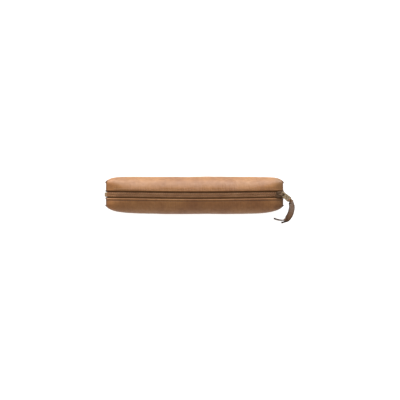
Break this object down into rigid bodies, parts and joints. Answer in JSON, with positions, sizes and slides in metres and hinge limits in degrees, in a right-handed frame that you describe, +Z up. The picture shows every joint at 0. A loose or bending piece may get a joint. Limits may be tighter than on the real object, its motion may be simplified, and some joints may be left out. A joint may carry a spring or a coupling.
{
  "type": "leather zip case",
  "caption": "Small soft leather case with a lining, a zip along its top from end to end, and a leather strap on the zip slider.",
  "frame": {"origin": "on the table under the middle of the case, below the zip's centre line", "axes": "+X along the case to the end where the slider rests, +Y to the back, +Z up through the zip"},
  "size_m": [0.2146, 0.052, 0.0462],
  "materials": {
    "leather": "satin, lightly worn, waxed",
    "lining": "woven cotton",
    "tape": "woven zip tape",
    "coil": "nylon coil",
    "brass": "antique, brushed",
    "binding": "dark cut edge",
    "strap": "satin"
  },
  "bodies": {
    "case": {"leather_base": "leather", "lining_base": "lining", "end_seam_right": "binding", "end_seam_left": "binding", "corner_seam_right_back": "binding", "corner_seam_right_front": "binding", "corner_seam_left_back": "binding", "corner_seam_left_front": "binding", "zip_bottom_stop": "brass"},
    "upper_back": {"leather_back": "leather", "lining_back": "lining", "zip_tape_back": "tape", "zip_row_back": "coil", "zip_top_stop_back": "brass"},
    "upper_front": {"leather_front": "leather", "lining_front": "lining", "zip_tape_front": "tape", "zip_row_front": "coil", "zip_top_stop_front": "brass"},
    "slider": {"slider_body": "brass", "slider_bridge": "brass"},
    "pull": {"pull_tab": "brass"},
    "strap": {"pull_strap": "strap"}
  },
  "joints": [
    {"name": "slider_slide", "type": "slide", "parent": "case", "child": "slider", "axis": [-1, 0, 0], "range_m": [0, 0.184], "deforming": ["zip_tape_back", "zip_tape_front", "zip_row_back", "zip_row_front", "pull_strap"]},
    {"name": "back_opens", "type": "hinge", "parent": "case", "child": "upper_back", "pos_m": [0, 0.0187, 0.006], "axis": [-1, 0, 0], "range_deg": [0, 15.5]},
    {"name": "front_opens", "type": "hinge", "parent": "case", "child": "upper_front", "pos_m": [0, -0.0184, 0.006], "axis": [1, 0, 0], "range_deg": [0, 15.5]},
    {"name": "pull_turns", "type": "hinge", "parent": "slider", "child": "pull", "pos_m": [0.0992, 0, 0.0438], "axis": [0, 0, 1], "range_deg": [-12, 90]},
    {"name": "strap_lifts", "type": "hinge", "parent": "pull", "child": "strap", "pos_m": [0.10622, -0.00589, 0.043], "axis": [-0.6428, -0.766, 0], "range_deg": [0, 80]}
  ],
  "couplings": [
    {"joint": "back_opens", "follows": "slider_slide", "rad_per_m": 1.4228},
    {"joint": "front_opens", "follows": "slider_slide", "rad_per_m": 1.4228}
  ]
}
